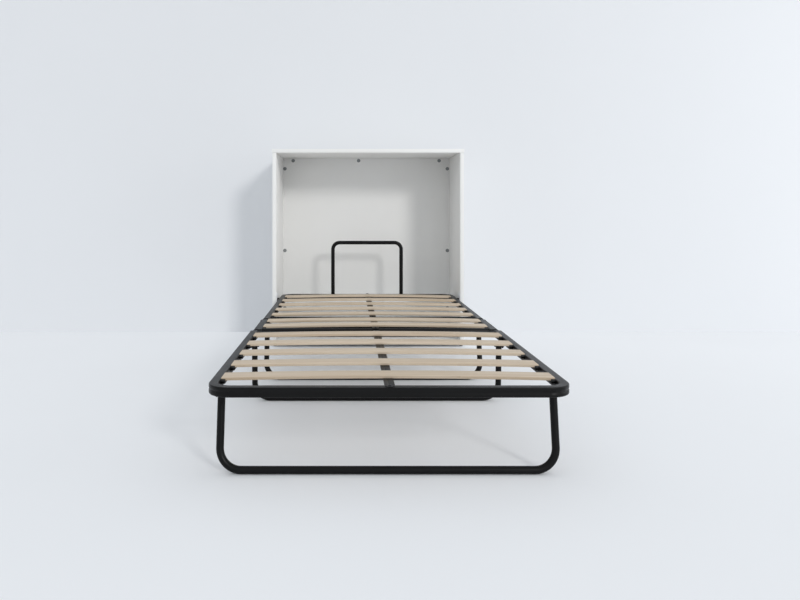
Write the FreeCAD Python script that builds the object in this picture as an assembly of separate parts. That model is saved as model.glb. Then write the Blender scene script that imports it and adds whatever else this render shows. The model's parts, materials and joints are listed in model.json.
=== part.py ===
import FreeCAD, Part
import os
from FreeCAD import Vector
from math import atan2, cos, degrees, radians, sin, tan

os.makedirs("parts", exist_ok=True)

# A folding bed in a storage cabinet. All lengths are in millimetres.
# X is the width, -Y points to the foot end, +Z is up, and the floor is at Z = 0.
# Places along the bed are given as distances from the front face of the foot end.

# The bed as a whole. The head section takes what the other two leave of its length.
bed_length = 1900.0
bed_side_clearance = 3.0
head_section_inset = 11.0
rail_top = 240.0
foot_section_length = 815.0
middle_section_length = 250.0
bed_in_cabinet = 190.0

# Steel tube
rail_size = 25.0
rail_wall = 1.8
rail_edge_radius = 3.0
rail_bend_radius = 47.5
groove_radius = 4.0
groove_sink = 1.5
cross_tube_diameter = 20.0
cross_tube_wall = 1.5
plug_flange = 2.0
plug_depth = 12.0
plug_clearance = 0.1

# Fold hinges
hinge_pin_drop = 11.0
hinge_pin_diameter = 8.0
hinge_eye_radius = 9.0
hinge_strap_thickness = 4.0
knuckle_thickness = 10.0
knuckle_flange = 3.0
rail_to_pin = 16.5
side_gap = 0.5

# Slats. The first and last of a section are measured from its two ends.
slat_width = 58.0
slat_thickness = 8.0
slat_edge_radius = 2.0
slat_crown = 5.7
slat_end_rise = 4.0
slat_end_gap = 1.0
foot_first_slat = 112.0
foot_last_slat = 109.0
foot_slat_count = 5
middle_first_slat = 80.0
middle_last_slat = 50.0
middle_slat_count = 2
head_first_slat = 111.0
head_last_slat = 120.0
head_slat_count = 5
seat_reach = 12.0
seat_height = 9.0
seat_lip = 3.0
seat_lip_rise = 5.0
seat_side_gap = 0.3
seat_top_gap = 0.1

# Cross tubes, as distances from the nearest hinge; a second one in the middle lies between its slats
foot_cross_to_hinge = 33.0
middle_front_cross_to_hinge = 28.0
head_cross_to_hinge = 57.0

# Centre bars and their rivets
bar_width = 26.0
bar_thickness = 1.5
rivet_head_diameter = 11.0
rivet_head_height = 2.4
rivet_shank_diameter = 5.0

# Leg hoops
leg_tube_diameter = 20.0
leg_tube_wall = 1.5
leg_bend_radius = 55.0
leg_pivot_height = 199.0
leg_end_past_pivot = 8.0
leg_bolt_diameter = 8.0
leg_tab_thickness = 4.0
leg_tab_length = 28.0
leg_tab_drop = 27.0
front_leg_at = 115.0
front_leg_lean_angle = 10.0
middle_leg_to_hinge = 67.0
middle_leg_lean_angle = -3.0
head_leg_to_hinge = 33.0
head_leg_lean_angle = 12.0
foot_leg_inset = 11.0

# Mattress stop hoop at the head end
hoop_tube_diameter = 19.0
hoop_tube_wall = 1.2
hoop_spacing = 355.0
hoop_height = 275.0
hoop_bend_radius = 35.0
hoop_end_height = 19.0
hoop_bolt_diameter = 6.0

# Cabinet
panel_thickness = 18.0
back_thickness = 16.0
cabinet_inner_width = 906.0
cabinet_inner_depth = 368.0
cabinet_inner_top = 957.0
top_overhang = 2.0
bottom_setback = 2.0
glide_height = 13.0
glide_diameter = 17.0
glide_inset = 40.0
edge_round = 1.0
cam_diameter = 19.0
cam_proud = 1.2
cam_slot_width = 2.0
cam_from_edge = 10.0
cam_from_top = 12.0
cam_corner_inset = 55.0
cam_middle_offset = -41.0
cam_high_drop = 56.0
cam_low_drop = 502.0
cam_floor_rise = 110.0
dowel_diameter = 8.0
dowel_length = 32.0
dowel_hidden_share = 2 / 3
dowel_inset = 60.0

# Bed pivots in the cabinet sides
pivot_from_front = 25.0
pivot_drop = 12.0
pivot_bolt_diameter = 10.0
pivot_bush_diameter = 24.0
pivot_plate_thickness = 3.0
pivot_plate_height = 76.0
pivot_plate_length = 44.0
pivot_plate_corner = 8.0
plate_screw_diameter = 5.0
plate_screw_length = 14.0
plate_screw_head = 9.0
plate_screw_head_height = 1.8
plate_screw_rise = 26.0
plate_screw_reach = 11.0

# Fasteners
fit = 0.05
nut_gap = 0.3
bolt_head_share = 2.0
bolt_head_height = 5.5
nut_share = 1.7
nut_height = 6.0
overrun = 2.0

# Places that follow from the sizes above
cabinet_front = bed_length - bed_in_cabinet
overall_length = cabinet_front + cabinet_inner_depth + back_thickness
foot_hinge_at = foot_section_length
head_hinge_at = foot_section_length + middle_section_length
pivot_at = cabinet_front + pivot_from_front
back_face_at = cabinet_front + cabinet_inner_depth
rail_bottom = rail_top - rail_size
rail_middle = rail_top - rail_size / 2
pivot_height = rail_top - pivot_drop
pin_height = rail_top - hinge_pin_drop
cabinet_half = cabinet_inner_width / 2
foot_half = cabinet_half - bed_side_clearance
head_half = foot_half - head_section_inset
foot_inner = foot_half - rail_size
head_inner = head_half - rail_size
cross_height = rail_top - cross_tube_diameter / 2
across = Vector(1, 0, 0)
along = Vector(0, 1, 0)
up = Vector(0, 0, 1)


def place(x, distance, z):
    """A point, from its distance behind the front face of the foot end."""
    return Vector(x, distance - overall_length / 2, z)


def save(name, *solids):
    """One file for one named piece, or for a group of like pieces."""
    shape = solids[0] if len(solids) == 1 else Part.makeCompound(list(solids))
    shape.exportStep(f"parts/{name}.step")


def mirrored(solid):
    """The same piece on the other side of the bed."""
    return solid.mirror(Vector(), across)


def block(x0, d0, z0, x1, d1, z1):
    """A box between two corners."""
    return Part.makeBox(x1 - x0, d1 - d0, z1 - z0, place(x0, d0, z0))


def rod(diameter, length, start, direction):
    return Part.makeCylinder(diameter / 2, length, start, direction)


def rounded_path(points, radius):
    """Straight runs joined by tangent arcs of one radius."""
    edges = []
    start = points[0]
    for before, corner, after in zip(points, points[1:], points[2:]):
        inward = (before - corner).normalize()
        outward = (after - corner).normalize()
        half_turn = inward.getAngle(outward) / 2
        reach = radius / tan(half_turn)
        bisector = (inward + outward).normalize()
        centre = corner + bisector * (radius / sin(half_turn))
        first = corner + inward * reach
        last = corner + outward * reach
        edges.append(Part.LineSegment(start, first).toShape())
        edges.append(Part.Arc(first, centre - bisector * radius, last).toShape())
        start = last
    edges.append(Part.LineSegment(start, points[-1]).toShape())
    return Part.Wire(edges)


def round_section(start, direction, diameter):
    return Part.Wire(Part.makeCircle(diameter / 2, start, direction))


def square_section(start, size, edge):
    """A square with rounded corners, in the upright plane square to the bed's length."""
    half = size / 2
    flat = half - edge
    corners = [(1, 1), (-1, 1), (-1, -1), (1, -1)]
    edges = []
    middle_share = cos(radians(45))
    for turn, (sx, sz) in enumerate(corners):
        nx, nz = corners[(turn + 1) % len(corners)]
        hub = Vector(sx * flat, 0, sz * flat)
        reach = Vector(sx * edge * middle_share, 0, sz * edge * middle_share)
        level = turn % 2 == 0
        early = Vector(sx * edge, 0, 0) if level else Vector(0, 0, sz * edge)
        late = Vector(0, 0, sz * edge) if level else Vector(sx * edge, 0, 0)
        edges.append(Part.Arc(start + hub + early, start + hub + reach, start + hub + late).toShape())
        next_hub = Vector(nx * flat, 0, nz * flat)
        edges.append(Part.LineSegment(start + hub + late, start + next_hub + late).toShape())
    return Part.Wire(edges)


def swept(path, section):
    return path.makePipeShell([section], True, False)


def round_tube(points, radius, diameter, wall):
    """A bent round tube, open at both ends."""
    path = rounded_path(points, radius)
    direction = points[1] - points[0]
    outside = swept(path, round_section(points[0], direction, diameter))
    inside = swept(path, round_section(points[0], direction, diameter - 2 * wall))
    return outside.cut(inside)


def bend_ring(centre, turn_from, radius):
    """The ring of a pressed groove round the outer wall of one level bend."""
    outer = rail_bend_radius + rail_size / 2 + groove_radius - groove_sink
    ring = Part.makeTorus(outer, radius, centre, up, -180, 180, 90)
    ring.rotate(centre, up, turn_from)
    return ring


def rail_loop(half_width, open_end, closed_end):
    """A U of square tube: two side rails and the end rail, with grooves pressed into its bends."""
    side = half_width - rail_size / 2
    step = 1 if closed_end > open_end else -1
    end_at = closed_end - step * rail_size / 2
    points = [
        place(side, open_end, rail_middle),
        place(side, end_at, rail_middle),
        place(-side, end_at, rail_middle),
        place(-side, open_end, rail_middle),
    ]
    path = rounded_path(points, rail_bend_radius)
    outside = swept(path, square_section(points[0], rail_size, rail_edge_radius))
    bore = rail_size - 2 * rail_wall
    inside = swept(path, square_section(points[0], bore, rail_edge_radius - rail_wall))
    hub_x = side - rail_bend_radius
    hub_at = end_at - step * rail_bend_radius
    for sign in (1, -1):
        hub = place(sign * hub_x, hub_at, rail_middle)
        turn = degrees(atan2(step, sign)) - 45
        inside = inside.cut(bend_ring(hub, turn, groove_radius + rail_wall))
        outside = outside.cut(bend_ring(hub, turn, groove_radius))
    return outside.cut(inside)


def straight_rail(side, start_at, end_at):
    points = [place(side, start_at, rail_middle), place(side, end_at, rail_middle)]
    path = Part.Wire(Part.LineSegment(*points).toShape())
    outside = swept(path, square_section(points[0], rail_size, rail_edge_radius))
    bore = rail_size - 2 * rail_wall
    return outside.cut(swept(path, square_section(points[0], bore, rail_edge_radius - rail_wall)))


def rail_plug(side, end_at, step):
    """A plastic plug in the open end of a square rail; step points into the rail."""
    flange = Part.Face(square_section(place(side, end_at, rail_middle), rail_size, rail_edge_radius))
    flange = flange.extrude(along * (-step * plug_flange))
    stem_size = rail_size - 2 * (rail_wall + plug_clearance)
    edge = rail_edge_radius - rail_wall
    stem = Part.Face(square_section(place(side, end_at, rail_middle), stem_size, edge))
    return flange.fuse(stem.extrude(along * (step * plug_depth)))


def cross_tube(half_span, distance):
    start = place(-half_span, distance, cross_height)
    outside = rod(cross_tube_diameter, 2 * half_span, start, across)
    return outside.cut(rod(cross_tube_diameter - 2 * cross_tube_wall, 2 * half_span, start, across))


def bolt(start, direction, diameter, grip):
    """A domed bolt: its head stands behind start and its shank runs along direction."""
    head_radius = diameter * bolt_head_share / 2
    head = Part.makeCylinder(head_radius, bolt_head_height, start - direction * bolt_head_height, direction)
    far = start - direction * bolt_head_height
    rim = [e for e in head.Edges if e.CenterOfMass.distanceToPoint(far) < fit and e.Length > head_radius]
    head = head.makeFillet(bolt_head_height / 2, rim)
    return head.fuse(rod(diameter, grip, start, direction))


def nut(start, direction, diameter):
    """A six-sided nut whose bearing face is at start."""
    radius = diameter * nut_share / 2 / cos(radians(30))
    side = along * radius
    corners = [FreeCAD.Rotation(across, turn).multVec(side) + start for turn in range(0, 361, 60)]
    solid = Part.Face(Part.makePolygon(corners)).extrude(direction * nut_height)
    return solid.cut(rod(diameter + 2 * fit, nut_height, start, direction))


def flat_plate(points, x0, thickness):
    """A plate in an upright plane along the bed, from its outline as (distance, height) pairs."""
    corners = [place(x0, d, z) for d, z in points]
    return Part.Face(Part.makePolygon(corners + corners[:1])).extrude(across * thickness)


def slat(half_length, distance):
    """A sprung slat, bowed up along its length, with eased long edges."""
    end_top = rail_top + slat_end_rise
    end_bottom = end_top - slat_thickness
    start_at = distance - slat_width / 2
    ends = [place(-half_length, start_at, end_bottom), place(half_length, start_at, end_bottom)]
    tops = [place(half_length, start_at, end_top), place(-half_length, start_at, end_top)]
    low = Part.Arc(ends[0], place(0, start_at, end_bottom + slat_crown), ends[1]).toShape()
    high = Part.Arc(tops[0], place(0, start_at, end_top + slat_crown), tops[1]).toShape()
    right = Part.LineSegment(ends[1], tops[0]).toShape()
    left = Part.LineSegment(tops[1], ends[0]).toShape()
    solid = Part.Face(Part.Wire([low, right, high, left])).extrude(along * slat_width)
    long_edges = [e for e in solid.Edges if e.Length > half_length]
    return solid.makeFillet(slat_edge_radius, long_edges)


def slat_seat(inner_face, distance):
    """A moulded shelf on the inner face of a rail, with a lip on each side of the slat's end."""
    top = rail_top + slat_end_rise - slat_thickness - seat_top_gap
    half = slat_width / 2 + seat_side_gap
    x0 = inner_face - seat_reach
    shelf = block(x0, distance - half - seat_lip, top - seat_height, inner_face, distance + half + seat_lip, top)
    for start_at in (distance - half - seat_lip, distance + half):
        lip = block(x0, start_at, top, inner_face, start_at + seat_lip, top + seat_lip_rise)
        shelf = shelf.fuse(lip)
    shelf = shelf.removeSplitter()
    toe = [e for e in shelf.Edges if e.Length > slat_width and abs(e.CenterOfMass.x - x0) < fit
           and abs(e.CenterOfMass.z - top + seat_height) < fit]
    return shelf.makeChamfer(seat_height / 2, toe)


def slat_group(section, half_inner, first_at, last_at, count):
    """The slats of one section, evenly spread, and the seats that carry their ends."""
    seats = []
    for number in range(count):
        distance = first_at + (last_at - first_at) * number / (count - 1)
        save(f"{section}_slat_{number + 1}", slat(half_inner - slat_end_gap, distance))
        seat = slat_seat(half_inner, distance)
        seats += [seat, mirrored(seat)]
    save(f"{section}_slat_seats", *seats)


def centre_bar(start_at, end_at, rivets_at):
    """A flat bar with round ends that lies on the cross tubes, with its rivets."""
    half = bar_width / 2
    body = block(-half, start_at + half, rail_top, half, end_at - half, rail_top + bar_thickness)
    for distance in (start_at + half, end_at - half):
        body = body.fuse(rod(bar_width, bar_thickness, place(0, distance, rail_top), up))
    body = body.removeSplitter()
    rivets = []
    for distance in rivets_at:
        foot = place(0, distance, rail_top)
        body = body.cut(rod(rivet_shank_diameter + 2 * fit, bar_thickness, foot, up))
        crown = foot + up * bar_thickness
        head = Part.makeCone(rivet_head_diameter / 2, rivet_shank_diameter / 2, rivet_head_height, crown)
        rivets.append(head.fuse(rod(rivet_shank_diameter, bar_thickness, foot, up)))
    return body, rivets


def leg_hoop(half_spacing, pivot_distance, lean):
    """A U of round tube whose top ends turn on bolts; a positive lean moves its foot to the foot end."""
    foot_height = leg_tube_diameter / 2
    reach = (leg_pivot_height - foot_height) / cos(radians(lean))
    down = Vector(0, -sin(radians(lean)), -cos(radians(lean)))
    pivots = [place(sign * half_spacing, pivot_distance, leg_pivot_height) for sign in (1, -1)]
    points = [
        pivots[0] - down * leg_end_past_pivot,
        pivots[0] + down * reach,
        pivots[1] + down * reach,
        pivots[1] - down * leg_end_past_pivot,
    ]
    hoop = round_tube(points, leg_bend_radius, leg_tube_diameter, leg_tube_wall)
    bore_length = leg_tube_diameter + 2 * overrun
    for pivot in pivots:
        bore_start = pivot - across * (bore_length / 2)
        hoop = hoop.cut(rod(leg_bolt_diameter + 2 * fit, bore_length, bore_start, across))
    return hoop


def leg_mount(tab_x, leg_side, half_spacing, pivot_distance, tab_top):
    """The welded tab, bolt and nut that carry one top end of a leg; leg_side points from tab to leg."""
    pivot = place(tab_x, pivot_distance, leg_pivot_height)
    half = leg_tab_length / 2
    low = rail_bottom - leg_tab_drop
    outline = [
        (pivot_distance - half, tab_top),
        (pivot_distance - half, low + half / 2),
        (pivot_distance - half / 2, low),
        (pivot_distance + half / 2, low),
        (pivot_distance + half, low + half / 2),
        (pivot_distance + half, tab_top),
    ]
    tab = flat_plate(outline, tab_x, leg_tab_thickness)
    tab = tab.cut(rod(leg_bolt_diameter + 2 * fit, leg_tab_thickness, pivot, across))
    head_x = tab_x if leg_side > 0 else tab_x + leg_tab_thickness
    head_face = place(head_x, pivot_distance, leg_pivot_height)
    far_x = half_spacing + leg_side * (leg_tube_diameter / 2 + nut_gap)
    grip = abs(far_x - head_x) + nut_height
    pin = bolt(head_face, across * leg_side, leg_bolt_diameter, grip)
    lock = nut(place(far_x, pivot_distance, leg_pivot_height), across * leg_side, leg_bolt_diameter)
    return tab, pin, lock


def save_leg_mounts(section, mounts):
    """The tabs, bolts and nuts of one section's legs, on both sides of the bed."""
    for name, pieces in zip(("tabs", "bolts", "nuts"), zip(*mounts)):
        save(f"{section}_leg_{name}", *pieces, *[mirrored(piece) for piece in pieces])


def knuckle(side, pin_at, step):
    """A hinge lug that closes the end of a side rail; step points along its own rail."""
    rail_end = pin_at + step * rail_to_pin
    flange = Part.Face(square_section(place(side, rail_end, rail_middle), rail_size, rail_edge_radius))
    body = flange.extrude(along * (-step * knuckle_flange))
    x0 = head_half - side_gap - knuckle_thickness
    near, end = sorted((pin_at, rail_end - step * knuckle_flange))
    low = pin_height - hinge_eye_radius
    high = pin_height + hinge_eye_radius
    body = body.fuse(block(x0, near, low, head_half - side_gap, end, high))
    eye_start = place(x0, pin_at, pin_height)
    body = body.fuse(rod(2 * hinge_eye_radius, knuckle_thickness, eye_start, across)).removeSplitter()
    return body.cut(rod(hinge_pin_diameter + 2 * fit, knuckle_thickness, eye_start, across))


def hinge_strap():
    """The long side strap that ties the middle rails to both fold hinges."""
    x0 = head_half
    low = pin_height - hinge_eye_radius
    high = pin_height + hinge_eye_radius
    strap = block(x0, foot_hinge_at, low, x0 + hinge_strap_thickness, head_hinge_at, high)
    pins = [place(x0, at, pin_height) for at in (foot_hinge_at, head_hinge_at)]
    for pin in pins:
        strap = strap.fuse(rod(2 * hinge_eye_radius, hinge_strap_thickness, pin, across))
    strap = strap.removeSplitter()
    for pin in pins:
        strap = strap.cut(rod(hinge_pin_diameter + 2 * fit, hinge_strap_thickness, pin, across))
    return strap


def foot_section():
    rails = rail_loop(foot_half, foot_hinge_at - rail_to_pin, 0)
    save("foot_rail_loop", rails)
    cross_at = foot_hinge_at - foot_cross_to_hinge
    save("foot_cross_tube", cross_tube(foot_inner, cross_at))
    lug = knuckle(foot_half - rail_size / 2, foot_hinge_at, -1)
    save("foot_hinge_knuckles", lug, mirrored(lug))
    front_rivet = rail_size / 2
    bar_start = front_rivet - bar_width / 2 + rail_edge_radius
    bar_end = cross_at + cross_tube_diameter / 2
    bar, rivets = centre_bar(bar_start, bar_end, (front_rivet, cross_at))
    save("foot_centre_bar", bar)
    save("foot_bar_rivets", *rivets)
    slat_group("foot", foot_inner, foot_first_slat, foot_hinge_at - foot_last_slat, foot_slat_count)
    spacing = foot_half - rail_size / 2 - foot_leg_inset + leg_tab_thickness / 2
    tab_x = spacing + leg_tube_diameter / 2 + side_gap
    middle_leg_at = foot_hinge_at - middle_leg_to_hinge
    save("front_leg_hoop", leg_hoop(spacing, front_leg_at, front_leg_lean_angle))
    save("middle_leg_hoop", leg_hoop(spacing, middle_leg_at, middle_leg_lean_angle))
    mounts = [leg_mount(tab_x, -1, spacing, at, rail_bottom) for at in (front_leg_at, middle_leg_at)]
    save_leg_mounts("foot", mounts)


def middle_section():
    side = head_half - rail_size / 2
    start_at = foot_hinge_at + rail_to_pin
    end_at = head_hinge_at - rail_to_pin
    rail = straight_rail(side, start_at, end_at)
    save("middle_rails", rail, mirrored(rail))
    plugs = [rail_plug(side, start_at, 1), rail_plug(side, end_at, -1)]
    save("middle_rail_plugs", *plugs, *[mirrored(plug) for plug in plugs])
    front_at = foot_hinge_at + middle_front_cross_to_hinge
    first_slat_at = foot_hinge_at + middle_first_slat
    last_slat_at = head_hinge_at - middle_last_slat
    rear_at = (first_slat_at + last_slat_at) / 2
    save("middle_cross_tubes", cross_tube(head_inner, front_at), cross_tube(head_inner, rear_at))
    bar_start = front_at - cross_tube_diameter / 2
    bar, rivets = centre_bar(bar_start, end_at, (front_at, rear_at))
    save("middle_centre_bar", bar)
    save("middle_bar_rivets", *rivets)
    slat_group("middle", head_inner, first_slat_at, last_slat_at, middle_slat_count)
    strap = hinge_strap()
    save("hinge_straps", strap, mirrored(strap))
    outer = head_half + hinge_strap_thickness
    inner = head_half - side_gap - knuckle_thickness - nut_gap
    grip = outer - inner + nut_height
    pins = []
    nuts = []
    for at in (foot_hinge_at, head_hinge_at):
        pins.append(bolt(place(outer, at, pin_height), -across, hinge_pin_diameter, grip))
        nuts.append(nut(place(inner, at, pin_height), -across, hinge_pin_diameter))
    save("hinge_pins", *pins, *[mirrored(pin) for pin in pins])
    save("hinge_nuts", *nuts, *[mirrored(lock) for lock in nuts])


def mattress_hoop():
    """The stop hoop bolted behind the end rail at the head."""
    half = hoop_spacing / 2
    distance = bed_length + hoop_tube_diameter / 2 + side_gap
    top = rail_top + hoop_height - hoop_tube_diameter / 2
    low = rail_bottom - hoop_end_height + rail_size / 2
    points = [
        place(half, distance, low),
        place(half, distance, top),
        place(-half, distance, top),
        place(-half, distance, low),
    ]
    hoop = round_tube(points, hoop_bend_radius, hoop_tube_diameter, hoop_tube_wall)
    bolts = []
    for sign in (1, -1):
        head_face = place(sign * half, distance + hoop_tube_diameter / 2, rail_middle)
        hole = rod(hoop_bolt_diameter + 2 * fit, hoop_tube_diameter, head_face, -along)
        hoop = hoop.cut(hole)
        bolts.append(bolt(head_face, -along, hoop_bolt_diameter, hoop_tube_diameter + side_gap + rail_wall))
    save("mattress_hoop", hoop)
    save("hoop_bolts", *bolts)
    caps = []
    for sign in (1, -1):
        end = place(sign * half, distance, low)
        cap = rod(hoop_tube_diameter, plug_flange, end, -up)
        stem = hoop_tube_diameter - 2 * (hoop_tube_wall + plug_clearance)
        caps.append(cap.fuse(rod(stem, plug_depth, end, up)))
    save("hoop_end_caps", *caps)


def head_section():
    rails = rail_loop(head_half, head_hinge_at + rail_to_pin, bed_length)
    bore = pivot_bolt_diameter + 2 * fit
    for sign in (1, -1):
        start = place(sign * (head_half + overrun), pivot_at, pivot_height)
        rails = rails.cut(rod(bore, rail_size + 2 * overrun, start, across * -sign))
        hoop_hole = place(sign * hoop_spacing / 2, bed_length + overrun, rail_middle)
        rails = rails.cut(rod(hoop_bolt_diameter + 2 * fit, rail_wall + 2 * overrun, hoop_hole, -along))
    save("head_rail_loop", rails)
    cross_at = head_hinge_at + head_cross_to_hinge
    save("head_cross_tube", cross_tube(head_inner, cross_at))
    lug = knuckle(head_half - rail_size / 2, head_hinge_at, 1)
    save("head_hinge_knuckles", lug, mirrored(lug))
    rear_rivet = bed_length - rail_size / 2
    bar_end = rear_rivet + bar_width / 2 - rail_edge_radius
    bar, rivets = centre_bar(cross_at - cross_tube_diameter / 2, bar_end, (cross_at, rear_rivet))
    save("head_centre_bar", bar)
    save("head_bar_rivets", *rivets)
    first_slat_at = head_hinge_at + head_first_slat
    slat_group("head", head_inner, first_slat_at, bed_length - head_last_slat, head_slat_count)
    tab_x = head_inner - leg_tab_thickness
    spacing = head_inner + side_gap + leg_tube_diameter / 2
    tab_top = rail_top - rail_edge_radius
    leg_at = head_hinge_at + head_leg_to_hinge
    save("head_leg_hoop", leg_hoop(spacing, leg_at, head_leg_lean_angle))
    save_leg_mounts("head", [leg_mount(tab_x, 1, spacing, leg_at, tab_top)])
    mattress_hoop()


def bed_pivots():
    """The plates, bolts, bushes and nuts that carry the head section in the cabinet."""
    plate_x = cabinet_half - pivot_plate_thickness
    centre = place(plate_x, pivot_at, pivot_height)
    half_length = pivot_plate_length / 2
    half_height = pivot_plate_height / 2
    plate = block(plate_x, pivot_at - half_length, pivot_height - half_height,
                  cabinet_half, pivot_at + half_length, pivot_height + half_height)
    upright = [e for e in plate.Edges if abs(e.Length - pivot_plate_thickness) < fit]
    plate = plate.makeFillet(pivot_plate_corner, upright)
    plate = plate.cut(rod(pivot_bolt_diameter + 2 * fit, pivot_plate_thickness, centre, across))
    screws = []
    for rise in (plate_screw_rise, -plate_screw_rise):
        for reach in (plate_screw_reach, -plate_screw_reach):
            spot = place(plate_x, pivot_at + reach, pivot_height + rise)
            plate = plate.cut(rod(plate_screw_diameter + 2 * fit, pivot_plate_thickness, spot, across))
            head = Part.makeCone(plate_screw_head / 2, plate_screw_diameter / 2, plate_screw_head_height,
                                 spot, -across)
            screws.append(head.fuse(rod(plate_screw_diameter, plate_screw_length, spot, across)))
    save("pivot_plates", plate, mirrored(plate))
    save("pivot_plate_screws", *screws, *[mirrored(screw) for screw in screws])
    bush_x = head_half + side_gap
    bush = rod(pivot_bush_diameter, plate_x - bush_x, place(bush_x, pivot_at, pivot_height), across)
    bush = bush.cut(rod(pivot_bolt_diameter + 2 * fit, plate_x - bush_x,
                        place(bush_x, pivot_at, pivot_height), across))
    save("pivot_bushes", bush, mirrored(bush))
    nut_x = head_inner - nut_gap
    shank_end = nut_x - nut_height
    shank = rod(pivot_bolt_diameter, cabinet_half + panel_thickness / 2 - shank_end,
                place(shank_end, pivot_at, pivot_height), across)
    save("pivot_bolts", shank, mirrored(shank))
    lock = nut(place(nut_x, pivot_at, pivot_height), -across, pivot_bolt_diameter)
    save("pivot_nuts", lock, mirrored(lock))


def dowel_spots():
    """Where dowels tie the top and bottom panels to the sides: start points and directions."""
    top_spots = []
    floor_spots = []
    for distance in (cabinet_front + dowel_inset, back_face_at - dowel_inset):
        middle = cabinet_half + panel_thickness / 2
        top_spots.append(place(middle, distance, cabinet_inner_top - dowel_length * dowel_hidden_share))
        level = glide_height + panel_thickness / 2
        floor_spots.append(place(cabinet_half - dowel_length * dowel_hidden_share, distance, level))
    return top_spots, floor_spots


def cabinet():
    floor_level = glide_height + panel_thickness
    top_spots, floor_spots = dowel_spots()
    hole = dowel_diameter + 2 * fit
    side = block(cabinet_half, cabinet_front, glide_height,
                 cabinet_half + panel_thickness, overall_length, cabinet_inner_top)
    top = block(-cabinet_half - panel_thickness - top_overhang, cabinet_front - top_overhang, cabinet_inner_top,
                cabinet_half + panel_thickness + top_overhang, overall_length,
                cabinet_inner_top + panel_thickness)
    rim = [e for e in top.Edges if abs(e.CenterOfMass.z - cabinet_inner_top - panel_thickness) < fit]
    top = top.makeFillet(edge_round, rim)
    bottom = block(-cabinet_half, cabinet_front + bottom_setback, glide_height,
                   cabinet_half, back_face_at, floor_level)
    back = block(-cabinet_half, back_face_at, glide_height, cabinet_half, overall_length, cabinet_inner_top)
    dowels = []
    for spot in top_spots:
        side = side.cut(rod(hole, dowel_length, spot, up))
        for start in (spot, Vector(-spot.x, spot.y, spot.z)):
            top = top.cut(rod(hole, dowel_length + fit, start, up))
        dowels.append(rod(dowel_diameter, dowel_length, spot, up))
    for spot in floor_spots:
        side = side.cut(rod(hole, dowel_length + fit, spot, across))
        for start, direction in ((spot, across), (Vector(-spot.x, spot.y, spot.z), -across)):
            bottom = bottom.cut(rod(hole, dowel_length, start, direction))
        dowels.append(rod(dowel_diameter, dowel_length, spot, across))
    pivot = place(cabinet_half, pivot_at, pivot_height)
    side = side.cut(rod(pivot_bolt_diameter + 2 * fit, panel_thickness / 2, pivot, across))
    for rise in (plate_screw_rise, -plate_screw_rise):
        for reach in (plate_screw_reach, -plate_screw_reach):
            spot = place(cabinet_half, pivot_at + reach, pivot_height + rise)
            depth = plate_screw_length - pivot_plate_thickness + fit
            side = side.cut(rod(plate_screw_diameter + 2 * fit, depth, spot, across))
    save("side_panel_right", side)
    save("side_panel_left", mirrored(side))
    save("top_panel", top)
    save("bottom_panel", bottom)
    save("back_panel", back)
    save("panel_dowels", *dowels, *[mirrored(dowel) for dowel in dowels])
    glide_x = cabinet_half + panel_thickness / 2
    glides = []
    for distance in (cabinet_front + glide_inset, overall_length - glide_inset):
        glides.append(rod(glide_diameter, glide_height, place(glide_x, distance, 0), up))
    save("floor_glides", *glides, *[mirrored(glide) for glide in glides])
    cam_locks(floor_level)


def cam_locks(floor_level):
    """The round caps of the fittings that tie the back panel to its neighbours."""
    row = cabinet_inner_top - cam_from_top
    corner = cabinet_half - cam_corner_inset
    edge = cabinet_half - cam_from_edge
    spots = [(-corner, row), (cam_middle_offset, row), (corner, row)]
    for height in (cabinet_inner_top - cam_high_drop, cabinet_inner_top - cam_low_drop,
                   floor_level + cam_floor_rise):
        spots += [(-edge, height), (edge, height)]
    caps = []
    for x, z in spots:
        cap = rod(cam_diameter, cam_proud, place(x, back_face_at, z), -along)
        slot = block(x - cam_diameter, back_face_at - cam_proud - overrun, z - cam_slot_width / 2,
                     x + cam_diameter, back_face_at - cam_proud / 2, z + cam_slot_width / 2)
        caps.append(cap.cut(slot))
    save("cam_lock_caps", *caps)


foot_section()
middle_section()
head_section()
bed_pivots()
cabinet()
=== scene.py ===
"""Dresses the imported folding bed: beech slats on a black tube frame, in an open white cabinet."""

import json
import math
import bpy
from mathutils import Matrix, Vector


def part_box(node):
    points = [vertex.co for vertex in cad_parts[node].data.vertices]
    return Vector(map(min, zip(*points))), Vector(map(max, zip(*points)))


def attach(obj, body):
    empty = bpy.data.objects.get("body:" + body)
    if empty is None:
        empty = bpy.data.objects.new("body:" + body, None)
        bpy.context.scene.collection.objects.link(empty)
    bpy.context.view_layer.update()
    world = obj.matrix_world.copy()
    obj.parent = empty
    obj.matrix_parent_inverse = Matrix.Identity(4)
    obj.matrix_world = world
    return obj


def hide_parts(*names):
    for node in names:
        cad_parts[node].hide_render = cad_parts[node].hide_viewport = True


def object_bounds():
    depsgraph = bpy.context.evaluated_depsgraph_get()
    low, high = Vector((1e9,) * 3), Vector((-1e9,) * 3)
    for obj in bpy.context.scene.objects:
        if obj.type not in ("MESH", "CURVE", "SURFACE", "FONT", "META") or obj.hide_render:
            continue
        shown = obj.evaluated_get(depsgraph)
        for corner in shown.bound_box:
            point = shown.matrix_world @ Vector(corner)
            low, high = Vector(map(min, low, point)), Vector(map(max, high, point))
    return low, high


bl_info = {
    "name": "Folding bed in a cabinet",
    "version": (1, 0, 0),
    "blender": (4, 5, 0),
    "location": "View3D > Sidebar > Folding bed",
    "description": "Builds the visible pieces, finishes and stage of a folding bed around its packed frame",
    "category": "Object",
}

import bmesh
import bpy
from bpy.props import FloatProperty, FloatVectorProperty, IntProperty, PointerProperty
from mathutils import Matrix, Vector

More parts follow.
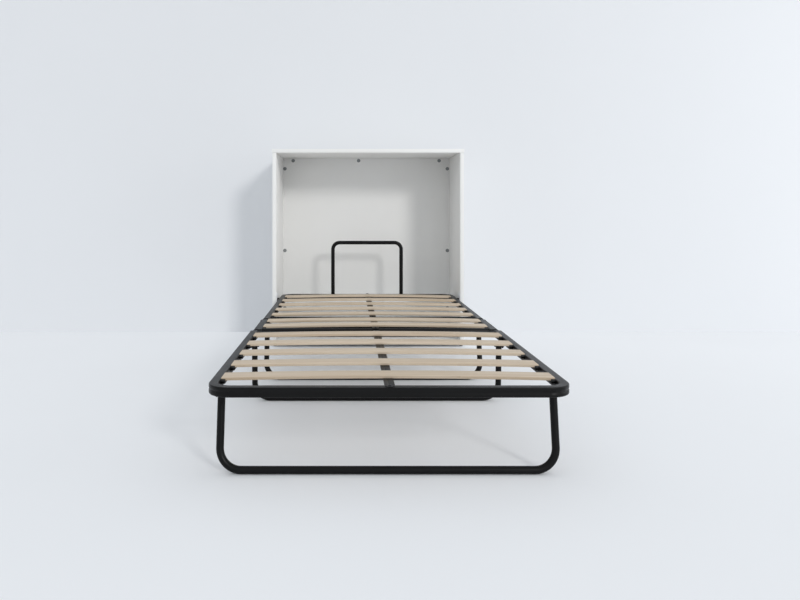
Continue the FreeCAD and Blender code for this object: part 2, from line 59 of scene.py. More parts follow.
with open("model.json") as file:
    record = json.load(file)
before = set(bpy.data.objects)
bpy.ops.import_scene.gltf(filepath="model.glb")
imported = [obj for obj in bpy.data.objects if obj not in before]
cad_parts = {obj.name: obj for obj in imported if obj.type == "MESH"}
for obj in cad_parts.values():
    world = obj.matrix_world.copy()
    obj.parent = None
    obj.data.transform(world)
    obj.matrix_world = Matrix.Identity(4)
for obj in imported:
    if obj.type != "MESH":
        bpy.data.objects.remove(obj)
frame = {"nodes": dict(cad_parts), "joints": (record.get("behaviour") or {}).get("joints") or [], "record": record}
cad_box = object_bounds()

MM = 0.001
BODY_OF = {node: body for body, nodes in frame["record"]["behaviour"]["bodies"].items() for node in nodes}
JOINT = {joint["name"]: joint for joint in frame["joints"]}
SLAT_NODES = {
    "foot": [f"foot_slat_{n}" for n in range(1, 6)],
    "middle": [f"middle_slat_{n}" for n in range(1, 3)],
    "head": [f"head_slat_{n}" for n in range(1, 6)],
}
X_AXIS = Vector((1, 0, 0))
Y_AXIS = Vector((0, 1, 0))
Z_AXIS = Vector((0, 0, 1))

# Angles between two faces up to which they are one, and from which their edge shows sharp or is
# broken; and half of a hexagon's side
FLAT_BELOW = math.radians(0.4)
SHARP_ABOVE = math.radians(35)
BROKEN_ABOVE = math.radians(40)
HEX_HALF = math.radians(30)

# How far edges are broken: cut tubes, moulded caps, plates and bars, and turned pieces
TUBE_EDGE = 0.3 * MM
CAP_EDGE = 0.5 * MM
PLATE_EDGE = 0.6 * MM
TURNED_EDGE = 0.8 * MM

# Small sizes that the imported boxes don't give
ROUND_STEPS = 36
BOLT_HEAD_HEIGHT = 5.5 * MM
NUT_SHARE = 1.7  # a nut's width across its flats, against its bore
RIVET_STEPS = 28
RIVET_RISE = 2.4 * MM
RIVET_SHANK_RADIUS = 2.5 * MM
RIVET_DIMPLE = 0.5 * MM
SCREW_HEAD_HEIGHT = 1.8 * MM
SCREW_SHANK_RADIUS = 2.5 * MM
SCREW_SLOT_WIDTH = 1.2 * MM
SCREW_SLOT_DEPTH = 1.1 * MM
CAP_SLOT_WIDTH = 1.6 * MM
CAP_SLOT_DEPTH = 0.7 * MM
SEAT_SIDE_GAP = 0.3 * MM
SEAT_TOP_GAP = 0.1 * MM
SEAT_BACK = 2.4 * MM
SEAT_ROUND = 0.9 * MM
RIB_HALF = 1.0 * MM
RIB_ROUND = 0.5 * MM
STITCH_HALF = 14 * MM
RIPPLE_SHARE = 1.1  # from one ripple of a weld to the next, against the bead's half width
WELD_SEED = 3

# The stage, in metres
FLOOR_HALF_WIDTH = 7.0
FLOOR_NEAR, FLOOR_FAR = -9.0, 9.0
WALL_HEIGHT = 4.5
KEY_DIRECTION = Vector((-0.474, 0.785, -0.400))
KEY_COLOUR = (1.0, 0.985, 0.965)
SKY_COLOUR = (0.94, 0.97, 1.0, 1)
PANE_WIDTH, PANE_HEIGHT = 2.6, 2.0
PANE_PLACE = Vector((4.3, -0.7, 1.7))
PANE_AIM = Vector((0, 0.4, 0.4))
CAMERA_PLACE = (-0.1045, -2.703, 0.665)
CAMERA_SENSOR, CAMERA_LENS = 36, 30.8
CAMERA_SHIFT_X, CAMERA_SHIFT_Y = 0.0663, -0.11


def linear(hex_colour):
    """An sRGB hex colour as linear red, green and blue."""
    channels = [int(hex_colour[at:at + 2], 16) / 255 for at in (0, 2, 4)]
    return [c / 12.92 if c <= 0.04045 else ((c + 0.055) / 1.055) ** 2.4 for c in channels]


def colour_property(name, description, hex_colour):
    return FloatVectorProperty(name=name, description=description, default=linear(hex_colour),
                               subtype="COLOR", size=3, min=0, max=1)


def length_property(name, description, millimetres):
    return FloatProperty(name=name, description=description, default=millimetres * MM,
                         unit="LENGTH", subtype="DISTANCE", min=0)


class BedSlatSettings(bpy.types.PropertyGroup):
    pale: colour_property("Pale beech", "Early wood of the slats", "cfc0ac")
    dark: colour_property("Dark beech", "Late wood and flecks of the slats", "b7a288")
    edge_radius: length_property("Edge radius", "Rounding of the slats' long edges", 2.0)
    ply: length_property("Ply", "Thickness of one bonded layer of a slat", 1.6)
    seed: IntProperty(name="Seed", description="Gives each slat its own tone", default=7)


class BedTubeSettings(bpy.types.PropertyGroup):
    coat: colour_property("Powder coat", "Black coat of the steel frame", "070707")
    worn: colour_property("Coat, lighter", "Where the coat is thin or dusty", "0f0f10")
    leg_diameter: length_property("Leg tube", "Outside diameter of the leg hoops", 20.0)
    leg_wall: length_property("Leg wall", "Wall of the leg tubes", 1.5)
    leg_bend: length_property("Leg bend", "Centre line radius of the legs' bends", 55.0)
    leg_past_pivot: length_property("Leg end", "Tube beyond the leg's bolt", 8.0)
    hoop_diameter: length_property("Hoop tube", "Outside diameter of the mattress hoop", 19.0)
    hoop_wall: length_property("Hoop wall", "Wall of the mattress hoop's tube", 1.2)
    hoop_bend: length_property("Hoop bend", "Centre line radius of the hoop's bends", 35.0)
    bead: length_property("Weld bead", "Half width of a weld bead", 1.7)


class BedFixingSettings(bpy.types.PropertyGroup):
    steel: colour_property("Black zinc", "Bolts, nuts and rivets", "2b2b2d")
    plastic: colour_property("Black plastic", "Seats, plugs, bushes, caps and glides", "18191a")
    socket_share: FloatProperty(name="Socket", description="Hex socket against the bolt's head",
                                default=0.48, min=0.1, max=0.9)


class BedCabinetSettings(bpy.types.PropertyGroup):
    white: colour_property("White melamine", "Faces of the boards", "eff2f6")
    band_white: colour_property("Edge band", "Banding of the boards' front edges", "f0f3f6")
    cap: colour_property("Fitting cap", "Caps of the back panel's fittings", "7d8182")
    coat: colour_property("White coat", "Pivot plates and their screws", "e6e7e7")
    band: length_property("Band", "Thickness of the edge banding", 1.0)
    band_round: length_property("Band rounding", "Rounding of the banded edges", 0.8)
    board_round: length_property("Board rounding", "Rounding of the other edges", 0.6)


class BedStageSettings(bpy.types.PropertyGroup):
    floor: colour_property("Floor", "Plain pale floor", "eef0f3")
    wall: colour_property("Wall", "Plain pale wall", "e4e6e9")
    wall_gap: length_property("Wall gap", "From the cabinet's back to the wall", 45.0)
    key_power: FloatProperty(name="Key", description="Window light from the right front", default=0.85, min=0)
    key_spread: FloatProperty(name="Key spread", description="Width of the window as seen from the bed",
                              default=math.radians(11), subtype="ANGLE", min=0)
    side_power: FloatProperty(name="Side", description="Soft light from the far right", default=24.0, min=0)
    horizon: FloatProperty(name="Horizon", description="Strength of the even light, level with the bed",
                           default=0.66, min=0)
    zenith: FloatProperty(name="Zenith", description="Strength of the even light from above",
                          default=0.92, min=0)
    beyond: FloatProperty(name="Beyond", description="Plain backdrop past the floor's edge",
                          default=0.78, min=0)


# Small tools


def add(tree, kind, values=None, **settings):
    """Adds a node with its settings; values are numbers or sockets to link from, by input name or index."""
    node = tree.nodes.new(kind)
    for name, value in settings.items():
        setattr(node, name, value)
    for key, value in (values or {}).items():
        if isinstance(value, bpy.types.NodeSocket):
            tree.links.new(value, node.inputs[key])
        else:
            node.inputs[key].default_value = value
    return node


def per_metre(millimetres):
    """A texture's scale, from the size of its pattern."""
    return 1 / (millimetres * MM)


def bare_material(name):
    """An empty material with its shader and Object coordinates."""
    material = bpy.data.materials.new(name)
    material.use_nodes = True
    tree = material.node_tree
    tree.nodes.clear()
    shader = add(tree, "ShaderNodeBsdfPrincipled")
    add(tree, "ShaderNodeOutputMaterial", {"Surface": shader.outputs["BSDF"]})
    place = add(tree, "ShaderNodeTexCoord").outputs["Object"]
    return material, tree, shader, place


def box_middle(box):
    return (box[0] + box[1]) / 2


def show(mesh, name, material=None):
    """A new object at the origin for a finished mesh."""
    piece = bpy.data.objects.new(name, mesh)
    bpy.context.scene.collection.objects.link(piece)
    if material is not None:
        mesh.materials.clear()
        mesh.materials.append(material)
    return piece


def smooth(mesh):
    mesh.shade_smooth()
    mesh.set_sharp_from_angle(angle=SHARP_ABOVE)


def fit_in(piece, *nodes):
    """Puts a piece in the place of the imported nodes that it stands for."""
    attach(piece, BODY_OF[nodes[0]])
    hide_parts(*nodes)
    return piece


def mesh_from(work, name):
    mesh = bpy.data.meshes.new(name)
    work.to_mesh(mesh)
    work.free()
    return mesh


def merged_copy(node):
    """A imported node's mesh with its loose triangles joined up, as a bmesh."""
    work = bmesh.new()
    work.from_mesh(frame["nodes"][node].data)
    bmesh.ops.remove_doubles(work, verts=work.verts, dist=1e-6)
    return work


def solid_boxes(node):
    """The boxes of the separate solids in a node, from -X to +X and then along the bed."""
    work = merged_copy(node)
    work.verts.ensure_lookup_table()
    boxes = []
    seen = set()
    for start in work.verts:
        if start.index in seen:
            continue
        queue = [start]
        seen.add(start.index)
        points = []
        while queue:
            vertex = queue.pop()
            points.append(vertex.co.copy())
            for edge in vertex.link_edges:
                other = edge.other_vert(vertex)
                if other.index not in seen:
                    seen.add(other.index)
                    queue.append(other)
        low = Vector([min(p[axis] for p in points) for axis in range(3)])
        high = Vector([max(p[axis] for p in points) for axis in range(3)])
        boxes.append((low, high))
    work.free()
    return sorted(boxes, key=lambda box: (round(box_middle(box).x, 4), round(box_middle(box).y, 4)))


def eased(node, name, material, bevel=0.0):
    """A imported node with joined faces, smooth curves and softly broken edges."""
    work = merged_copy(node)
    bmesh.ops.dissolve_limit(work, angle_limit=FLAT_BELOW, verts=work.verts, edges=work.edges)
    if bevel:
        sharp = [e for e in work.edges if e.is_manifold and e.calc_face_angle() > BROKEN_ABOVE]
        bmesh.ops.bevel(work, geom=sharp, offset=bevel, segments=2, profile=0.6, affect="EDGES",
                        clamp_overlap=True)
    mesh = mesh_from(work, name)
    smooth(mesh)
    return fit_in(show(mesh, name, material), node)


def new_tree(name, sockets):
    """A geometry node tree with named inputs and one geometry output."""
    tree = bpy.data.node_groups.new(name, "GeometryNodeTree")
    tree.interface.new_socket("Geometry", in_out="INPUT", socket_type="NodeSocketGeometry")
    for socket, kind in sockets.items():
        tree.interface.new_socket(socket, in_out="INPUT", socket_type=f"NodeSocket{kind}")
    tree.interface.new_socket("Geometry", in_out="OUTPUT", socket_type="NodeSocketGeometry")
    return tree, tree.nodes.new("NodeGroupInput").outputs


def finish_tree(tree, geometry, material):
    real = add(tree, "GeometryNodeRealizeInstances", {"Geometry": geometry})
    painted = add(tree, "GeometryNodeSetMaterial", {"Geometry": real.outputs["Geometry"],
                                                    "Material": material})
    add(tree, "NodeGroupOutput", {"Geometry": painted.outputs["Geometry"]})
    return tree


def grown(name, tree, inputs, base=None, wall=0.0):
    """Runs a tree on a base mesh and keeps the result as a plain mesh."""
    carrier = show(base or bpy.data.meshes.new(name), f"{name}_carrier")
    modifier = carrier.modifiers.new("grow", "NODES")
    modifier.node_group = tree
    for item in tree.interface.items_tree:
        if item.in_out == "INPUT" and item.name in inputs:
            modifier[item.identifier] = inputs[item.name]
    if wall:
        shell = carrier.modifiers.new("wall", "SOLIDIFY")
        shell.thickness = wall
        shell.offset = -1
    depsgraph = bpy.context.evaluated_depsgraph_get()
    mesh = bpy.data.meshes.new_from_object(carrier.evaluated_get(depsgraph), preserve_all_data_layers=True,
                                           depsgraph=depsgraph)
    mesh.name = name
    bpy.data.objects.remove(carrier)
    smooth(mesh)
    return show(mesh, name)


def polyline(name, *paths):
    """A mesh of bare edges along one or more rows of points."""
    mesh = bpy.data.meshes.new(name)
    points = []
    edges = []
    for path in paths:
        edges += [(len(points) + at, len(points) + at + 1) for at in range(len(path) - 1)]
        points += path
    mesh.from_pydata(points, edges, [])
    return mesh


# Node trees for what repeats or follows a path


def slat_tree():
    """Bowed slats in a row along the bed: a rounded section swept along an arc."""
    tree, given = new_tree("slat_row", {
        "Half Length": "Float", "Crown": "Float", "Width": "Float", "Thickness": "Float",
        "Edge Radius": "Float", "First": "Vector", "Pitch": "Float", "Count": "Int", "Seed": "Int",
        "Material": "Material"})
    minus = add(tree, "ShaderNodeMath", {0: given["Half Length"], 1: -1.0}, operation="MULTIPLY")
    start = add(tree, "ShaderNodeCombineXYZ", {"X": minus.outputs[0]})
    middle = add(tree, "ShaderNodeCombineXYZ", {"Z": given["Crown"]})
    end = add(tree, "ShaderNodeCombineXYZ", {"X": given["Half Length"]})
    bow = add(tree, "GeometryNodeCurveArc", {"Resolution": 41, "Start": start.outputs[0],
                                             "Middle": middle.outputs[0], "End": end.outputs[0]}, mode="POINTS")
    upright = add(tree, "GeometryNodeSetCurveNormal", {"Curve": bow.outputs["Curve"]}, mode="Z_UP")
    section = add(tree, "GeometryNodeCurvePrimitiveQuadrilateral",
                  {"Width": given["Width"], "Height": given["Thickness"]}, mode="RECTANGLE")
    rounded = add(tree, "GeometryNodeFilletCurve", {"Curve": section.outputs["Curve"], "Count": 4,
                                                    "Radius": given["Edge Radius"]}, mode="POLY")
    spot = add(tree, "GeometryNodeInputPosition")
    parts = add(tree, "ShaderNodeSeparateXYZ", {"Vector": spot.outputs[0]})
    across = add(tree, "GeometryNodeStoreNamedAttribute", {
        "Geometry": rounded.outputs["Curve"], "Name": "across", "Value": parts.outputs["X"]},
        data_type="FLOAT", domain="POINT")
    depth = add(tree, "GeometryNodeStoreNamedAttribute", {
        "Geometry": across.outputs["Geometry"], "Name": "depth", "Value": parts.outputs["Y"]},
        data_type="FLOAT", domain="POINT")
    slat = add(tree, "GeometryNodeCurveToMesh", {"Curve": upright.outputs["Curve"],
                                                 "Profile Curve": depth.outputs["Geometry"], "Fill Caps": True})
    step = add(tree, "ShaderNodeCombineXYZ", {"Y": given["Pitch"]})
    row = add(tree, "GeometryNodeMeshLine", {"Count": given["Count"], "Start Location": given["First"],
                                             "Offset": step.outputs[0]}, mode="OFFSET", count_mode="TOTAL")
    placed = add(tree, "GeometryNodeInstanceOnPoints", {"Points": row.outputs["Mesh"],
                                                        "Instance": slat.outputs["Mesh"]})
    tone = add(tree, "FunctionNodeRandomValue", {"Seed": given["Seed"]}, data_type="FLOAT")
    chosen = next(socket for socket in tone.outputs if socket.enabled)
    toned = add(tree, "GeometryNodeStoreNamedAttribute", {
        "Geometry": placed.outputs["Instances"], "Name": "board", "Value": chosen},
        data_type="FLOAT", domain="INSTANCE")
    return finish_tree(tree, toned.outputs["Geometry"], given["Material"])


def tube_tree():
    """A round tube along a polyline, with its corners bent to one radius."""
    tree, given = new_tree("bent_tube", {"Radius": "Float", "Bend": "Float", "Steps": "Int", "Sides": "Int",
                                         "Material": "Material"})
    line = add(tree, "GeometryNodeMeshToCurve", {"Mesh": given["Geometry"]})
    bent = add(tree, "GeometryNodeFilletCurve", {"Curve": line.outputs["Curve"], "Count": given["Steps"],
                                                 "Radius": given["Bend"]}, mode="POLY")
    ring = add(tree, "GeometryNodeCurvePrimitiveCircle", {"Resolution": given["Sides"],
                                                          "Radius": given["Radius"]}, mode="RADIUS")
    tube = add(tree, "GeometryNodeCurveToMesh", {"Curve": bent.outputs["Curve"],
                                                 "Profile Curve": ring.outputs["Curve"]})
    return finish_tree(tree, tube.outputs["Mesh"], given["Material"])


def fixing_tree(name, axis, pivot):
    """One template set on each point, with one of its axes turned to the point's facing."""
    tree, given = new_tree(name, {"Template": "Object", "Material": "Material"})
    template = add(tree, "GeometryNodeObjectInfo", {"Object": given["Template"]})
    facing = add(tree, "GeometryNodeInputNamedAttribute", {"Name": "facing"}, data_type="FLOAT_VECTOR")
    turned = add(tree, "FunctionNodeAlignRotationToVector", {"Vector": facing.outputs["Attribute"]},
                 axis=axis, pivot_axis=pivot)
    placed = add(tree, "GeometryNodeInstanceOnPoints", {
        "Points": given["Geometry"], "Instance": template.outputs["Geometry"], "Rotation": turned.outputs[0]})
    return finish_tree(tree, placed.outputs["Instances"], given["Material"])


def weld_tree():
    """A weld bead along each path: overlapping ripples of slightly uneven size."""
    tree, given = new_tree("weld_bead", {"Bead": "Float", "Ripple": "Float", "Seed": "Int",
                                         "Material": "Material"})
    line = add(tree, "GeometryNodeMeshToCurve", {"Mesh": given["Geometry"]})
    spots = add(tree, "GeometryNodeCurveToPoints", {"Curve": line.outputs["Curve"],
                                                    "Length": given["Ripple"]}, mode="LENGTH")
    ripple = add(tree, "GeometryNodeMeshUVSphere", {"Segments": 8, "Rings": 6, "Radius": given["Bead"]})
    size = add(tree, "FunctionNodeRandomValue", {2: 0.82, 3: 1.12, "Seed": given["Seed"]}, data_type="FLOAT")
    chosen = next(socket for socket in size.outputs if socket.enabled)
    placed = add(tree, "GeometryNodeInstanceOnPoints", {
        "Points": spots.outputs["Points"], "Instance": ripple.outputs["Mesh"],
        "Rotation": spots.outputs["Rotation"], "Scale": chosen})
    return finish_tree(tree, placed.outputs["Instances"], given["Material"])


# Finishes


def lay_surface(tree, shader, tones, tone_by, rough=None, rough_by=None, relief=None, relief_by=None):
    """Spreads two tones over a shader by one pattern, and a range of roughness and a relief by others.

    A relief is its strength and its depth in millimetres.
    """
    mix = add(tree, "ShaderNodeMix", {"Factor": tone_by, "A": (*tones[0], 1), "B": (*tones[1], 1)},
              data_type="RGBA")
    tree.links.new(next(s for s in mix.outputs if s.enabled), shader.inputs["Base Color"])
    if rough:
        spread = add(tree, "ShaderNodeMapRange", {"Value": rough_by, "To Min": rough[0], "To Max": rough[1]})
        tree.links.new(spread.outputs["Result"], shader.inputs["Roughness"])
    if relief:
        bump = add(tree, "ShaderNodeBump", {"Height": relief_by, "Strength": relief[0],
                                            "Distance": relief[1] * MM})
        tree.links.new(bump.outputs["Normal"], shader.inputs["Normal"])


def powder_coat(name, coat, worn):
    """Polyester powder coat on steel: satin, with a faint orange peel, drawn coarser than it is to show."""
    material, tree, shader, place = bare_material(name)
    patch = add(tree, "ShaderNodeTexNoise", {"Vector": place, "Scale": per_metre(70), "Detail": 3.0})
    peel = add(tree, "ShaderNodeTexNoise", {"Vector": place, "Scale": per_metre(2.4), "Detail": 1.0})
    lay_surface(tree, shader, (coat, worn), patch.outputs["Fac"], rough=(0.3, 0.42),
                rough_by=patch.outputs["Fac"], relief=(0.25, 0.05), relief_by=peel.outputs["Fac"])
    # Kept low, so that black tubes hardly mirror pale surroundings
    shader.inputs["Specular IOR Level"].default_value = 0.17
    return material


def beech(name, settings):
    """Bonded beech, sanded and lacquered: straight grain along the slat, short flecks, plies on the edges."""
    material, tree, shader, place = bare_material(name)
    board = add(tree, "ShaderNodeAttribute", attribute_name="board").outputs["Fac"]
    lift = add(tree, "ShaderNodeCombineXYZ", {"Z": board})
    apart = add(tree, "ShaderNodeVectorMath", {0: place, 1: lift.outputs[0]}, operation="ADD")
    grain_shape = add(tree, "ShaderNodeMapping", {
        "Vector": apart.outputs[0], "Scale": (per_metre(420), per_metre(5), per_metre(40))})
    grain = add(tree, "ShaderNodeTexNoise", {"Vector": grain_shape.outputs[0], "Scale": 1.0, "Detail": 5.0,
                                             "Roughness": 0.6})
    fleck_shape = add(tree, "ShaderNodeMapping", {
        "Vector": apart.outputs[0], "Scale": (per_metre(9), per_metre(1.1), per_metre(9))})
    fleck = add(tree, "ShaderNodeTexNoise", {"Vector": fleck_shape.outputs[0], "Scale": 1.0, "Detail": 2.0})
    streak = add(tree, "ShaderNodeMapRange", {"Value": grain.outputs["Fac"], "From Min": 0.32,
                                              "From Max": 0.72})
    speck = add(tree, "ShaderNodeMapRange", {"Value": fleck.outputs["Fac"], "From Min": 0.62, "From Max": 0.8,
                                             "To Max": 0.45})
    both = add(tree, "ShaderNodeMath", {0: streak.outputs["Result"], 1: speck.outputs["Result"]},
               operation="ADD")
    depth = add(tree, "ShaderNodeAttribute", attribute_name="depth").outputs["Fac"]
    layer = add(tree, "ShaderNodeMath", {0: depth, 1: math.tau / settings.ply}, operation="MULTIPLY")
    wave = add(tree, "ShaderNodeMath", {0: layer.outputs[0]}, operation="SINE")
    across = add(tree, "ShaderNodeAttribute", attribute_name="across").outputs["Fac"]
    outer = add(tree, "ShaderNodeMath", {0: across}, operation="ABSOLUTE")
    edge_from, edge_full = 28.2 * MM, 28.8 * MM
    edge = add(tree, "ShaderNodeMapRange", {"Value": outer.outputs[0], "From Min": edge_from,
                                            "From Max": edge_full, "To Max": 0.3})
    normal = add(tree, "ShaderNodeNewGeometry").outputs["Normal"]
    facing = add(tree, "ShaderNodeSeparateXYZ", {"Vector": normal})
    sideways = add(tree, "ShaderNodeMath", {0: facing.outputs["X"]}, operation="ABSOLUTE")
    end = add(tree, "ShaderNodeMapRange", {"Value": sideways.outputs[0], "From Min": 0.6, "From Max": 0.9,
                                           "To Max": 0.45})
    cut = add(tree, "ShaderNodeMath", {0: edge.outputs["Result"], 1: end.outputs["Result"]},
              operation="MAXIMUM")
    plies = add(tree, "ShaderNodeMath", {0: wave.outputs[0], 1: cut.outputs[0]}, operation="MULTIPLY")
    tone = add(tree, "ShaderNodeMapRange", {"Value": board, "To Min": -0.12, "To Max": 0.16})
    sum_one = add(tree, "ShaderNodeMath", {0: both.outputs[0], 1: plies.outputs[0]}, operation="ADD")
    amount = add(tree, "ShaderNodeMath", {0: sum_one.outputs[0], 1: tone.outputs["Result"]},
                 operation="ADD", use_clamp=True)
    lay_surface(tree, shader, (settings.pale, settings.dark), amount.outputs[0], rough=(0.42, 0.58),
                rough_by=grain.outputs["Fac"], relief=(0.12, 0.15), relief_by=both.outputs[0])
    return material


def melamine(name, colour):
    """Melamine on particle board: matt white with a fine pearl texture, drawn coarser than it is to show."""
    material, tree, shader, place = bare_material(name)
    patch = add(tree, "ShaderNodeTexNoise", {"Vector": place, "Scale": per_metre(160), "Detail": 2.0})
    pearl = add(tree, "ShaderNodeTexNoise", {"Vector": place, "Scale": per_metre(1.8), "Detail": 2.0})
    dimmer = [c * 0.965 for c in colour]
    lay_surface(tree, shader, (colour, dimmer), patch.outputs["Fac"], rough=(0.44, 0.56),
                rough_by=pearl.outputs["Fac"], relief=(0.12, 0.04), relief_by=pearl.outputs["Fac"])
    return material


def moulded(name, colour):
    """Moulded nylon or polypropylene: dull, with the fine spark-eroded grain of its mould."""
    material, tree, shader, place = bare_material(name)
    patch = add(tree, "ShaderNodeTexNoise", {"Vector": place, "Scale": per_metre(25), "Detail": 2.0})
    skin = add(tree, "ShaderNodeTexNoise", {"Vector": place, "Scale": per_metre(1.3), "Detail": 2.0})
    lighter = [min(1, c * 1.25) for c in colour]
    lay_surface(tree, shader, (colour, lighter), patch.outputs["Fac"], rough=(0.5, 0.64),
                rough_by=skin.outputs["Fac"], relief=(0.2, 0.05), relief_by=skin.outputs["Fac"])
    return material


def black_zinc(name, colour):
    """Steel fixings with a black passivated zinc coat: dark metal with faint machining marks."""
    material, tree, shader, place = bare_material(name)
    patch = add(tree, "ShaderNodeTexNoise", {"Vector": place, "Scale": per_metre(6), "Detail": 3.0})
    lighter = [c * 1.5 for c in colour]
    lay_surface(tree, shader, (colour, lighter), patch.outputs["Fac"], rough=(0.32, 0.5),
                rough_by=patch.outputs["Fac"])
    shader.inputs["Metallic"].default_value = 0.85
    return material


def emulsion(name, colour, light_passes=False):
    """Matt emulsion on floor or wall, seen from its front alone.

    A wall that light passes doesn't darken the back of what stands before it.
    """
    material, tree, shader, place = bare_material(name)
    patch = add(tree, "ShaderNodeTexNoise", {"Vector": place, "Scale": per_metre(900), "Detail": 2.0})
    dimmer = [c * 0.97 for c in colour]
    lay_surface(tree, shader, (colour, dimmer), patch.outputs["Fac"])
    shader.inputs["Roughness"].default_value = 0.8
    shader.inputs["Specular IOR Level"].default_value = 0.15
    back = add(tree, "ShaderNodeNewGeometry").outputs["Backfacing"]
    shown = add(tree, "ShaderNodeMath", {0: 1.0, 1: back}, operation="SUBTRACT").outputs[0]
    if light_passes:
        ray = add(tree, "ShaderNodeLightPath").outputs
        looked_at = add(tree, "ShaderNodeMath", {0: ray["Is Camera Ray"], 1: ray["Is Glossy Ray"]},
                        operation="MAXIMUM").outputs[0]
        shown = add(tree, "ShaderNodeMath", {0: shown, 1: looked_at}, operation="MULTIPLY").outputs[0]
    clear = add(tree, "ShaderNodeBsdfTransparent")
    sheet = add(tree, "ShaderNodeMixShader", {0: shown, 1: clear.outputs["BSDF"], 2: shader.outputs["BSDF"]})
    output = next(node for node in tree.nodes if node.type == "OUTPUT_MATERIAL")
    tree.links.new(sheet.outputs["Shader"], output.inputs["Surface"])
    return material


def finish(name):
    """One of the named finishes, made when it is first asked for."""
    if name in bpy.data.materials:
        return bpy.data.materials[name]
    scene = bpy.context.scene
    makers = {
        "black_powder_coat": lambda: powder_coat(name, scene.bed_tubes.coat, scene.bed_tubes.worn),
        "white_powder_coat": lambda: powder_coat(name, scene.bed_cabinet.coat, scene.bed_cabinet.white),
        "bonded_beech": lambda: beech(name, scene.bed_slats),
        "white_melamine": lambda: melamine(name, scene.bed_cabinet.white),
        "white_edge_band": lambda: melamine(name, scene.bed_cabinet.band_white),
        "black_nylon": lambda: moulded(name, scene.bed_fixings.plastic),
        "grey_cap_plastic": lambda: moulded(name, scene.bed_cabinet.cap),
        "black_zinc_steel": lambda: black_zinc(name, scene.bed_fixings.steel),
        "pale_floor": lambda: emulsion(name, scene.bed_stage.floor),
        "pale_wall": lambda: emulsion(name, scene.bed_stage.wall, light_passes=True),
    }
    return makers[name]()


# Pieces


def hexagon(flat, cap=math.inf):
    """How far out a hexagon lies at an angle about Z, with its corners cut off at cap."""
    return lambda angle: min(flat / math.cos(angle % (2 * HEX_HALF) - HEX_HALF), cap)


def turned(profile, steps, name, bored=False):
    """A solid about Z from (reach, height) pairs, bottom first; a reach is a radius or a hexagon.

    It is closed at both ends, or from its last pair back to its first if it is bored through.
    """
    work = bmesh.new()
    turn = [math.tau * at / steps for at in range(steps)]
    rings = []
    for reach, height in profile:
        if reach == 0:
            rings.append([work.verts.new((0, 0, height))])
            continue
        polar = [(reach(a) if callable(reach) else reach, a) for a in turn]
        rings.append([work.verts.new((r * math.cos(a), r * math.sin(a), height)) for r, a in polar])
    ends = [] if bored else [rings[0], rings[-1]]
    if bored:
        rings.append(rings[0])
    for low, high in zip(rings, rings[1:]):
        for at in range(steps):
            after = (at + 1) % steps
            ring = [low[at % len(low)], low[after % len(low)],
                    high[after % len(high)], high[at % len(high)]]
            corners = list(dict.fromkeys(ring))
            if len(corners) > 2:
                work.faces.new(corners)
    for ring in ends:
        if len(ring) > 1:
            work.faces.new(ring)
    bmesh.ops.recalc_face_normals(work, faces=work.faces)
    return mesh_from(work, name)


def set_on(tree, node, name, template_mesh, material, facing_of, seat_of=None):
    """Sets a template on each solid of a node, turned by facing_of, at seat_of or at the end that it faces."""
    boxes = solid_boxes(node)
    seats = [seat_of(box) if seat_of else end_towards(box, facing_of(box)) for box in boxes]
    base = bpy.data.meshes.new(f"{name}_points")
    base.from_pydata(seats, [], [])
    facing = base.attributes.new("facing", "FLOAT_VECTOR", "POINT")
    for spot, box in zip(facing.data, boxes):
        spot.vector = facing_of(box)
    template = show(template_mesh, f"{name}_template")
    piece = grown(name, tree, {"Template": template, "Material": material}, base)
    bpy.data.objects.remove(template)
    return fit_in(piece, node)


def outward(box):
    return X_AXIS if box_middle(box).x > 0 else -X_AXIS


def inward(box):
    return -outward(box)


def end_towards(box, direction):
    """The middle of a box's end face in one direction along an axis."""
    spot = box_middle(box)
    for axis in range(3):
        if abs(direction[axis]) > 0.5:
            spot[axis] = box[1][axis] if direction[axis] > 0 else box[0][axis]
    return spot


def button_bolt(name, head_radius, shank_radius, head_height, length, socket_share):
    """A button head bolt, its head's crown at Z = 0 and its shank below, with a hex socket in the crown."""
    socket = head_radius * socket_share
    crown = [(socket, 0.0)]
    crown_angle = math.radians(78)
    for share in (0.25, 0.5, 0.75, 1.0):
        angle = share * crown_angle
        radius = socket + (head_radius - socket) * math.sin(angle) / math.sin(crown_angle)
        drop = head_height * 0.8 * (1 - math.cos(angle)) / (1 - math.cos(crown_angle))
        crown.append((radius, -drop))
    below = [(head_radius, -head_height * 0.93), (head_radius * 0.97, -head_height),
             (shank_radius, -head_height), (shank_radius, -length + shank_radius * 0.15),
             (shank_radius * 0.85, -length), (0, -length)]
    recess = hexagon(socket * 0.93 * math.cos(HEX_HALF))
    sunk = [(recess, 0.0), (recess, -head_height * 0.55)]
    return turned((crown + below)[::-1] + sunk, ROUND_STEPS, name)


def lock_nut(name, corner_radius, bore_radius, height):
    """A hex lock nut with chamfered corners and a round collar, its free end at Z = 0 and its seat below."""
    flat = corner_radius * math.cos(HEX_HALF)
    full, chamfered = hexagon(flat, corner_radius), hexagon(flat, flat * 1.01)
    chamfer = height * 0.1
    collar = height * 0.25
    profile = [(bore_radius, -height), (chamfered, -height), (full, -height + chamfer),
               (full, -collar - chamfer), (chamfered, -collar), (flat * 0.9, -collar),
               (flat * 0.88, -collar * 0.35), (flat * 0.8, 0.0), (bore_radius, 0.0)]
    return turned(profile, ROUND_STEPS, name, bored=True)


